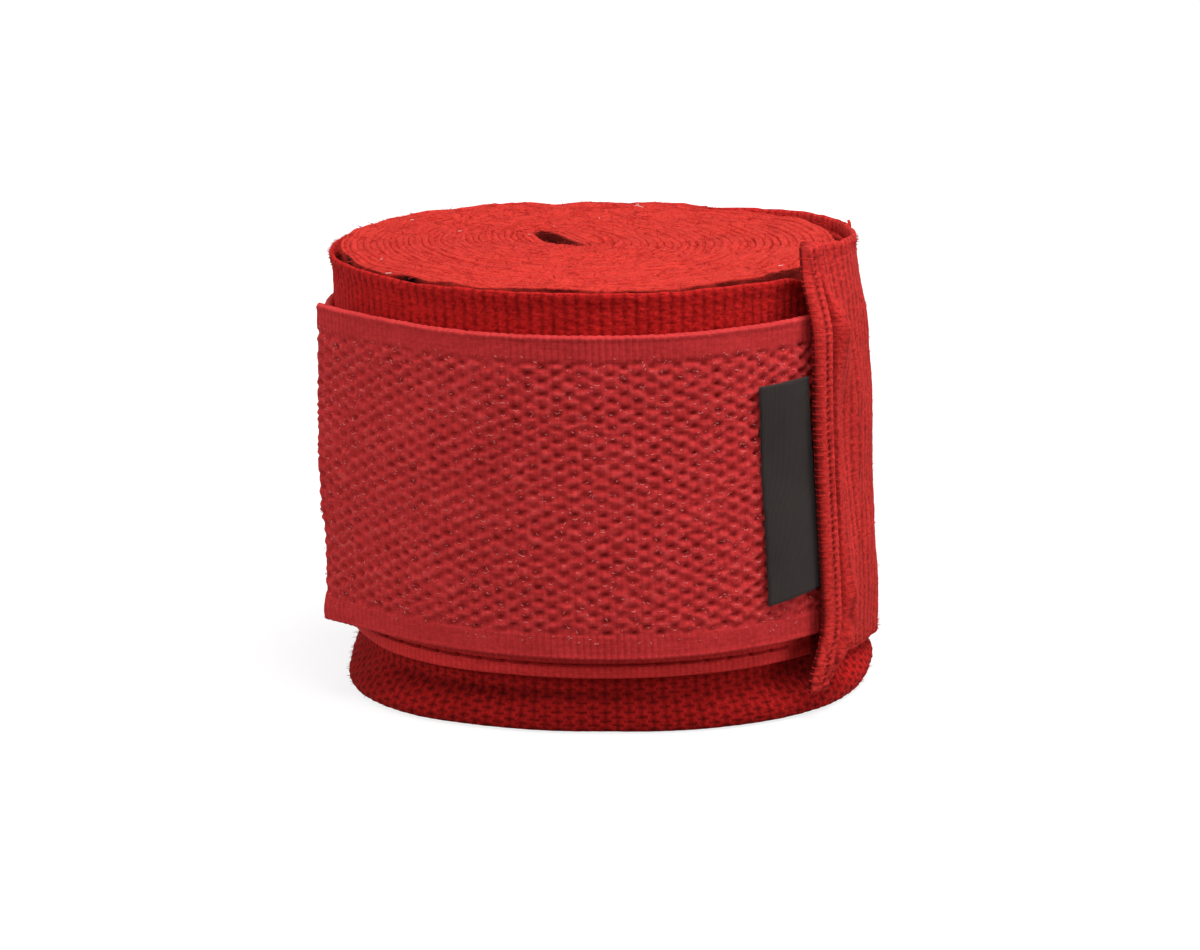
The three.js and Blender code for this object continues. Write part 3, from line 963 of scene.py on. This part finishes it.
def knit_relief_group():
    """Ribs and the staggered courses on them, from a cloth map in millimetres."""
    tree, given, out = group("knit_relief", ["Cloth"], ["Rib Pitch", "Course Pitch"],
                             ["Height", "Groove", "Seam"])
    place = xyz(tree, given["Cloth"])
    warp = times(tree, minus(tree, noise(tree, given["Cloth"], 0.9, 2), 0.5), 0.35)
    across = calc(tree, "DIVIDE", plus(tree, place["X"], warp), given["Rib Pitch"])
    wave = size_of(tree, calc(tree, "COSINE", times(tree, across, math.pi)))
    # Noise breaks the grooves up, in the bump and in their painted shade.
    broken_grooves = stretch(tree, noise(tree, given["Cloth"], 1.3, 3), 0.30, 0.62)
    groove = times(tree, calc(tree, "POWER", wave, 4.0), broken_grooves)
    stagger = times(tree, calc(tree, "FLOOR", plus(tree, across, 0.5)), 0.5)
    up = calc(tree, "DIVIDE", plus(tree, place["Y"], warp), given["Course Pitch"])
    up = plus(tree, up, stagger)
    course = size_of(tree, calc(tree, "SINE", times(tree, up, math.pi)))
    course = calc(tree, "POWER", course, 0.5)
    raised = plus(tree, times(tree, course, 0.7), 0.3)
    tree.links.new(times(tree, left(tree, groove), raised), out["Height"])
    tree.links.new(groove, out["Groove"])
    tree.links.new(left(tree, course), out["Seam"])
    return tree


def fibre_grain_group():
    """Felted fibre: fine grain, soft blotches, and streaks along the cloth."""
    tree, given, out = group("fibre_grain", ["Point", "Cloth"], ["Grain Scale"], ["Tone", "Height"])
    fine = noise(tree, given["Point"], given["Grain Scale"], 5.0, 0.65)
    blotch = noise(tree, given["Point"], 260.0, 2.0)
    drawn = add(tree, "ShaderNodeVectorMath", {0: given["Cloth"], 1: (0.22, 3.2, 1.0)},
                operation="MULTIPLY")
    streak = noise(tree, drawn.outputs[0], 1.0, 4.0, 0.6)
    tone = plus(tree, times(tree, fine, 0.5), times(tree, blotch, 0.2))
    tone = plus(tree, tone, times(tree, streak, 0.3))
    tree.links.new(stretch(tree, tone, 0.34, 0.66), out["Tone"])
    tree.links.new(plus(tree, fine, times(tree, streak, 0.5)), out["Height"])
    return tree


def tape_weave_group():
    """A close weave from a cloth map in millimetres: warp threads two pitches apart, finer weft."""
    tree, given, out = group("tape_weave", ["Cloth"], ["Thread Pitch"], ["Height", "Gap"])
    place = xyz(tree, given["Cloth"])
    across = times(tree, calc(tree, "DIVIDE", place["X"], given["Thread Pitch"]), math.pi)
    up = times(tree, calc(tree, "DIVIDE", place["Y"], given["Thread Pitch"]), math.pi * 1.4)
    warp = size_of(tree, calc(tree, "SINE", times(tree, across, 0.5)))
    weft = size_of(tree, calc(tree, "SINE", up))
    height = plus(tree, times(tree, warp, 0.7), times(tree, weft, 0.3))
    tree.links.new(height, out["Height"])
    gap = calc(tree, "POWER", left(tree, warp), 2.0)
    gap = plus(tree, gap, times(tree, left(tree, weft), 0.35))
    tree.links.new(gap, out["Gap"])
    return tree


KNIT_RELIEF = knit_relief_group()
FIBRE_GRAIN = fibre_grain_group()
TAPE_WEAVE = tape_weave_group()
TAPE_THREAD_PITCH = 0.34
TAG_THREAD_PITCH = 0.08


def cloth_material(name, roughness, sheen, sheen_tint):
    """A cloth material with its shader, cloth map and object coordinates ready."""
    made = bpy.data.materials.new(name)
    made.use_nodes = True
    tree = made.node_tree
    shader = tree.nodes["Principled BSDF"]
    shader.inputs["Roughness"].default_value = roughness
    shader.inputs["Specular IOR Level"].default_value = 0.03
    shader.inputs["Sheen Weight"].default_value = sheen
    shader.inputs["Sheen Roughness"].default_value = 0.45
    shader.inputs["Sheen Tint"].default_value = (*sheen_tint, 1)
    cloth = add(tree, "ShaderNodeUVMap", uv_map="cloth").outputs[0]
    point = add(tree, "ShaderNodeTexCoord").outputs["Object"]
    return made, tree, shader, cloth, point


def mix(tree, factor, *ends, **settings):
    """Two colours mixed, each given as a socket or as three numbers."""
    first, second = [end if isinstance(end, bpy.types.NodeSocket) else (*end, 1) for end in ends]
    made = add(tree, "ShaderNodeMix", {"Factor": factor, "A": first, "B": second},
               data_type="RGBA", **settings)
    return made.outputs["Result"]


def darken(tree, color, mask, amount):
    """A colour multiplied down where a mask is 1."""
    share = left(tree, times(tree, mask, amount))
    grey = add(tree, "ShaderNodeCombineColor", {0: share, 1: share, 2: share}).outputs[0]
    return mix(tree, 1.0, color, grey, blend_type="MULTIPLY")


def use_group(tree, which, inputs):
    return add(tree, "ShaderNodeGroup", inputs, node_tree=which).outputs


def relief_normal(tree, shader, height, distance):
    """A height, 0 to 1, that stands a distance in millimetres, put into the shader's normal."""
    made = add(tree, "ShaderNodeBump", {"Height": height, "Distance": distance * MM, "Strength": 1.0})
    tree.links.new(made.outputs[0], shader.inputs["Normal"])


def by_shade(tree, color, lit, depth):
    """A colour with painted shade where the shade attribute is below 0, and a painted highlight above 0.
    """
    shade = add(tree, "ShaderNodeAttribute", attribute_name="shade").outputs["Fac"]
    # Painted shade: the colour is darkened where the shade attribute is below 0.
    pit = calc(tree, "MAXIMUM", times(tree, shade, -1.0), 0.0)
    color = darken(tree, color, pit, depth)
    # Painted highlight: lit is mixed in where the shade attribute is above 0.
    lip = calc(tree, "MAXIMUM", shade, 0.0)
    return mix(tree, lip, color, lit)


def knit(name, dark, light, ribbed, grain, depth, free=None):
    """The band's felted knit. ribbed and grain say how much its ribs and its fibres show, ribbed also
    how much painted shade darkens its grooves and courses, and depth how dark the shade attribute's
    painted shade makes it. free gives paler shades for its outer end."""
    made, tree, shader, cloth, point = cloth_material(name, 0.9, 0.03, (1.0, 0.55, 0.5))
    fibre = use_group(tree, FIBRE_GRAIN, {"Point": point, "Cloth": cloth, "Grain Scale": 2600.0})
    relief = use_group(tree, KNIT_RELIEF,
                       {"Cloth": cloth, "Rib Pitch": RIB_PITCH, "Course Pitch": COURSE_PITCH})
    place = xyz(tree, cloth)
    color = mix(tree, fibre["Tone"], dark, light)
    if free is not None:
        # Paler shades along the outer end, blended into the band's by 75 mm.
        paler_end = mix(tree, fibre["Tone"], *free)
        color = mix(tree, stretch(tree, place["X"], 14.0, 75.0), paler_end, color)
    # Painted shade in the grooves between the ribs and in the seams between the courses, most near the
    # foot.
    color = darken(tree, color, relief["Groove"], ribbed)
    drawn = left(tree, stretch(tree, place["Y"], 4.0, 8.0))
    drawn = plus(tree, times(tree, drawn, 0.8), 0.2)
    courses = times(tree, relief["Seam"], drawn)
    color = by_shade(tree, darken(tree, color, courses, ribbed * 1.4), light, depth)
    tree.links.new(color, shader.inputs["Base Color"])
    tree.links.new(stretch(tree, fibre["Tone"], -1.6, 1.2), shader.inputs["Roughness"])
    height = plus(tree, times(tree, relief["Height"], ribbed),
                  times(tree, fibre["Height"], grain))
    relief_normal(tree, shader, height, 0.22)
    return made


def tape(name, dark, light, weave, lit=None):
    """A woven tape's cloth. weave says how much its threads show and how much painted shade darkens the
    gaps between them; lit is the painted highlight colour of its lips where it has a shade attribute."""
    made, tree, shader, cloth, point = cloth_material(name, 0.75, 0.03, (1.0, 0.6, 0.58))
    fibre = use_group(tree, FIBRE_GRAIN, {"Point": point, "Cloth": cloth, "Grain Scale": 2400.0})
    woven = use_group(tree, TAPE_WEAVE, {"Cloth": cloth, "Thread Pitch": TAPE_THREAD_PITCH})
    color = mix(tree, fibre["Tone"], dark, light)
    # Painted shade in the gaps between the threads.
    color = darken(tree, color, woven["Gap"], weave)
    if lit is not None:
        color = by_shade(tree, color, lit, 0.42)
    tree.links.new(color, shader.inputs["Base Color"])
    tree.links.new(stretch(tree, fibre["Tone"], -1.4, 1.6), shader.inputs["Roughness"])
    height = plus(tree, times(tree, woven["Height"], weave),
                  times(tree, fibre["Height"], 0.5))
    relief_normal(tree, shader, height, 0.12)
    return made


def thread(name, dark, light, sheen=0.05, roughness=0.8):
    """Twisted thread: a fine slanting ply along each stitch."""
    made, tree, shader, cloth, point = cloth_material(name, roughness, sheen, (1.0, 0.6, 0.55))
    place = xyz(tree, cloth)
    ply = calc(tree, "SINE", plus(tree, times(tree, place["X"], 22.0), place["Y"]))
    tone = plus(tree, times(tree, ply, 0.5), 0.5)
    grain = noise(tree, point, 3000.0)
    mixed = times(tree, plus(tree, tone, grain), 0.5)
    tree.links.new(mix(tree, mixed, dark, light), shader.inputs["Base Color"])
    relief_normal(tree, shader, tone, 0.03)
    return made


# The top edges' shades are paler and less saturated than the band's: partly their felted fibre, partly
# painted light standing for light through the fuzz.
TOP_KNIT = knit("felted_edge_painted_light", (0.46, 0.022, 0.017), (0.92, 0.068, 0.050),
                ribbed=0.0, grain=1.2, depth=0.90)
BAND_KNIT = knit("ribbed_knit", (0.39, 0.008, 0.008), (0.78, 0.025, 0.023),
                 ribbed=0.52, grain=0.7, depth=0.85,
                 free=((0.46, 0.019, 0.017), (0.88, 0.055, 0.048)))
# The hook tape's lit colour is a painted highlight on its lip and lumps.
HOOK_CLOTH = tape("hook_tape_cloth", (0.42, 0.021, 0.022), (0.73, 0.049, 0.051), weave=0.18,
                  lit=(0.80, 0.10, 0.095))
# The loop tape is drawn lighter than the band: painted light making up for the hook tape's shadow on its
# lower strip.
LOOP_CLOTH = tape("loop_tape_cloth", (0.52, 0.022, 0.022), (0.88, 0.052, 0.049), weave=0.22)
PILE_THREAD = thread("loop_pile", (0.46, 0.017, 0.017), (0.80, 0.043, 0.040), roughness=0.7)
# The sewing thread is drawn darker than the band's red: painted shade where its stitches sink into the
# tapes and the hem.
SEWING_THREAD = thread("sewing_thread", (0.26, 0.006, 0.007), (0.50, 0.020, 0.020), roughness=0.7)
OVERLOCK_THREAD = thread("overlock_thread", (0.42, 0.015, 0.013), (0.72, 0.036, 0.030))
FUZZ_FIBRE = thread("fuzz_fibre", (0.46, 0.014, 0.010), (0.84, 0.050, 0.038))
# The nylon's pale pink shades are painted glints.
NYLON = thread("nylon_painted_glint", (0.74, 0.16, 0.15), (0.95, 0.46, 0.44), sheen=0.0, roughness=0.4)
LINT = thread("pale_lint", (0.72, 0.45, 0.42), (0.95, 0.80, 0.78), sheen=0.2)


def tag_cloth():
    """The bare tag: charcoal woven label cloth, paler along its worn folded edge."""
    made, tree, shader, cloth, point = cloth_material("tag_cloth", 0.62, 0.15, (0.9, 0.85, 0.85))
    woven = use_group(tree, TAPE_WEAVE, {"Cloth": cloth, "Thread Pitch": TAG_THREAD_PITCH})
    place = xyz(tree, cloth)
    edge = TAG_ROOT - TAG_REACH - 0.1
    paler_end = stretch(tree, place["X"], edge, edge - 0.35)
    specks = stretch(tree, noise(tree, point, 2200.0), 0.45, 0.7)
    paler_end = times(tree, paler_end, specks)
    blotch = noise(tree, point, 160.0, 2.0)
    color = mix(tree, blotch, (0.029, 0.023, 0.021), (0.050, 0.040, 0.037))
    # Painted shade in the gaps between the threads.
    color = darken(tree, color, woven["Gap"], 0.35)
    color = mix(tree, paler_end, color, (0.55, 0.42, 0.42))
    tree.links.new(color, shader.inputs["Base Color"])
    relief_normal(tree, shader, woven["Height"], 0.04)
    return made


TAG_CLOTH = tag_cloth()


# ---- pieces, what they ride on and what they stand for --------------------------------------

def settle(piece, material, body, nodes=()):
    """Gives a piece its material, the body it rides on and the nodes it replaces."""
    piece.data.materials.append(material)
    if body is not None:
        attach(piece, body)
    if nodes:
        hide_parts(*nodes)
    return piece


wound = settle(wound_band(), TOP_KNIT, "roll", ["wrap_band"])
turn = settle(outer_turn(), BAND_KNIT, "roll")
tail = settle(free_tail(), BAND_KNIT, None, ["band_tail"])
hook = settle(hook_tape_cloth(), HOOK_CLOTH, "closure", ["hook_tape"])
loop = settle(loop_tape_cloth(), LOOP_CLOTH, "roll", ["loop_tape"])
tag = settle(plain_tag(), TAG_CLOTH, None, ["size_tag"])
thumb = settle(thumb_loop_cloth(), BAND_KNIT, "roll", ["thumb_loop"])
settle(overlock_threads(), OVERLOCK_THREAD, "closure", ["hem_overlock"])
settle(seam_threads(), SEWING_THREAD, "closure", ["hem_seam_thread"])
settle(stitch_row("upper_stitches", LOOP_HIGH - SEAM_INSET - 0.2), SEWING_THREAD, "roll",
       ["loop_tape_upper_stitching"])
settle(stitch_row("lower_stitches", LOOP_LOW + SEAM_INSET + 0.2), SEWING_THREAD, "roll",
       ["loop_tape_lower_stitching"])
settle(core_threads("inner_end_threads", 0.0, 1.0, 48.8, 0.8), SEWING_THREAD, "roll",
       ["inner_end_overlock"])
settle(core_threads("bartack_threads", -0.03, 19.3, 30.6, 0.28), SEWING_THREAD, "roll",
       ["thumb_loop_bartack"])
settle(loop_pile(), PILE_THREAD, "roll")
settle(nylon_glints(), NYLON, "closure")
settle(top_fuzz(), FUZZ_FIBRE, "roll")
settle(front_fuzz(), FUZZ_FIBRE, "roll")
soft_tail = settle(tail_fuzz(), FUZZ_FIBRE, None)
settle(lint(), LINT, "roll")
settle(loose_end("loose_end_top", (29.6, 6.0, 49.6), (30.1, 6.0, 51.9), (0.35, 0, 0.1), 0.26),
       FUZZ_FIBRE, "roll")
settle(loose_end("loose_end_foot", (29.6, 1.0, 4.6), (31.6, -1.0, 5.3), (0.1, 0, -0.25), 0.22),
       FUZZ_FIBRE, "roll")

def half_way_up(length, lift):
    """A place on the outer turn in the frame, in metres, at half of the band's width."""
    return [float(c) * MM for c in points(*outer(length, lift), BAND_WIDTH / 2)]


for piece in (tail, soft_tail):
    half_way_up(TAIL_LENGTH + 3.2, 0.4)
    half_way_up(TAIL_LENGTH - 3.8, 0.4)
    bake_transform(piece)

half_way_up(TAG_ROOT - 0.1, TAG_OUTER)
half_way_up(TAG_ROOT - 1.3, TAG_OUTER)
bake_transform(tag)


# ---- floor, light and camera ----------------------------------------------------------------

def sees_background(tree):
    """1 for rays that look at the background: the camera's, reflected and refracted ones."""
    path = add(tree, "ShaderNodeLightPath").outputs
    seen = calc(tree, "MAXIMUM", path["Is Camera Ray"], path["Is Glossy Ray"])
    return calc(tree, "MAXIMUM", seen, path["Is Transmission Ray"])


def stand_floor():
    """A pale floor that glows white to the camera, a little less so near the roll."""
    half = 3.0
    corners = [(-half, -half, 0), (half, -half, 0), (half, half, 0), (-half, half, 0)]
    mesh = bpy.data.meshes.new("stand_floor")
    mesh.from_pydata(corners, [], [(0, 1, 2, 3)])
    floor = bpy.data.objects.new("stand_floor", mesh)
    bpy.context.scene.collection.objects.link(floor)
    made = bpy.data.materials.new("pale_floor")
    made.use_nodes = True
    tree = made.node_tree
    shader = tree.nodes["Principled BSDF"]
    shader.inputs["Base Color"].default_value = (0.26, 0.26, 0.26, 1)
    shader.inputs["Roughness"].default_value = 0.9
    shader.inputs["Emission Color"].default_value = (1, 1, 1, 1)
    point = add(tree, "ShaderNodeTexCoord").outputs["Object"]
    away = add(tree, "ShaderNodeVectorMath", {0: point}, operation="LENGTH").outputs["Value"]
    even = add(tree, "ShaderNodeMapRange", {"Value": away, "From Min": 0.05, "From Max": 0.30,
                                            "To Min": 0.80, "To Max": 1.0}).outputs["Result"]
    glow = times(tree, sees_background(tree), even)
    tree.links.new(glow, shader.inputs["Emission Strength"])
    mesh.materials.append(made)


def soft_lamp(name, place, aim, size, power):
    """A rectangular lamp at a place, turned to face the point it is aimed at."""
    lamp = bpy.data.lights.new(name, "AREA")
    lamp.shape = "RECTANGLE"
    lamp.size, lamp.size_y = size
    lamp.energy = power
    holder = bpy.data.objects.new(name, lamp)
    holder.location = place
    toward = np.array(aim, float) - np.array(place, float)
    turned = np.array([math.atan2(math.hypot(toward[0], toward[1]), -toward[2]), 0,
                       math.atan2(toward[0], -toward[1]) + math.pi])
    holder.rotation_euler = turned
    bpy.context.scene.collection.objects.link(holder)


def studio():
    """A white background with little light of its own, and four soft lamps."""
    world = bpy.data.worlds.new("studio_world")
    bpy.context.scene.world = world
    world.use_nodes = True
    tree = world.node_tree
    tree.nodes["Background"].inputs["Color"].default_value = (1, 1, 1, 1)
    strength = plus(tree, times(tree, sees_background(tree), 0.92), 0.08)
    tree.links.new(strength, tree.nodes["Background"].inputs["Strength"])
    soft_lamp("overhead_softbox", (0.14, -0.12, 0.60), (0, 0, 0.03), (0.50, 0.42), 4.1)
    soft_lamp("front_fill", (-0.30, -0.65, 0.48), (0, 0, 0.025), (0.5, 0.4), 1.4)
    soft_lamp("right_fill", (0.70, -0.22, 0.22), (0, 0, 0.025), (0.36, 0.35), 1.9)
    soft_lamp("left_fill", (-0.70, -0.15, 0.22), (0, 0, 0.025), (0.4, 0.35), 1.6)


# The camera looks straight at the roll's front, from a little above it, in millimetres.
CAMERA_DISTANCE = 505
CAMERA_HEIGHT = 137
AIM_HEIGHT = 22.7
LENS = 132.75


def camera():
    made = bpy.data.cameras.new("product_camera")
    made.lens = LENS
    made.sensor_width = 36
    made.clip_start = 0.01
    made.clip_end = 20
    holder = bpy.data.objects.new("product_camera", made)
    holder.location = (AXIS[0] * MM, (AXIS[1] - CAMERA_DISTANCE) * MM, CAMERA_HEIGHT * MM)
    drop = math.atan2(CAMERA_HEIGHT - AIM_HEIGHT, CAMERA_DISTANCE)
    holder.rotation_euler = (math.pi / 2 - drop, 0, 0)
    bpy.context.scene.collection.objects.link(holder)
    bpy.context.scene.camera = holder


stand_floor()
studio()
camera()
bpy.context.scene.view_settings.view_transform = "Standard"
